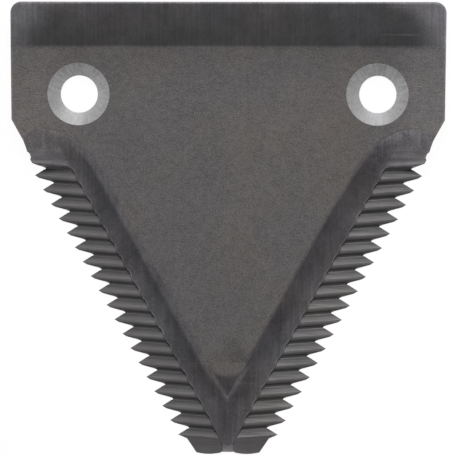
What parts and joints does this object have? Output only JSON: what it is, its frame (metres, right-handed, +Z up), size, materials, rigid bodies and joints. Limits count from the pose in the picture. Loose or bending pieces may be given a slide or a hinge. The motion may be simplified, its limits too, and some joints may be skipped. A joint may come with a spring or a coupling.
{
  "type": "mower sickle section",
  "caption": "Triangular knife section for a mower's sickle bar: a stamped steel plate with serrated, hollow-ground cutting edges and countersunk bolt holes.",
  "frame": {"origin": "midway between the two bolt holes, on the underside", "axes": "+X along the bolt row, +Y to the back edge, +Z up out of the flat top"},
  "size_m": [0.076, 0.0788, 0.0028],
  "materials": {
    "steel": "dark hardened steel, grainy on the flat top, smooth where it is ground, bare metal in the countersinks"
  },
  "bodies": {
    "root": {"sickle_section": "steel"}
  },
  "joints": []
}
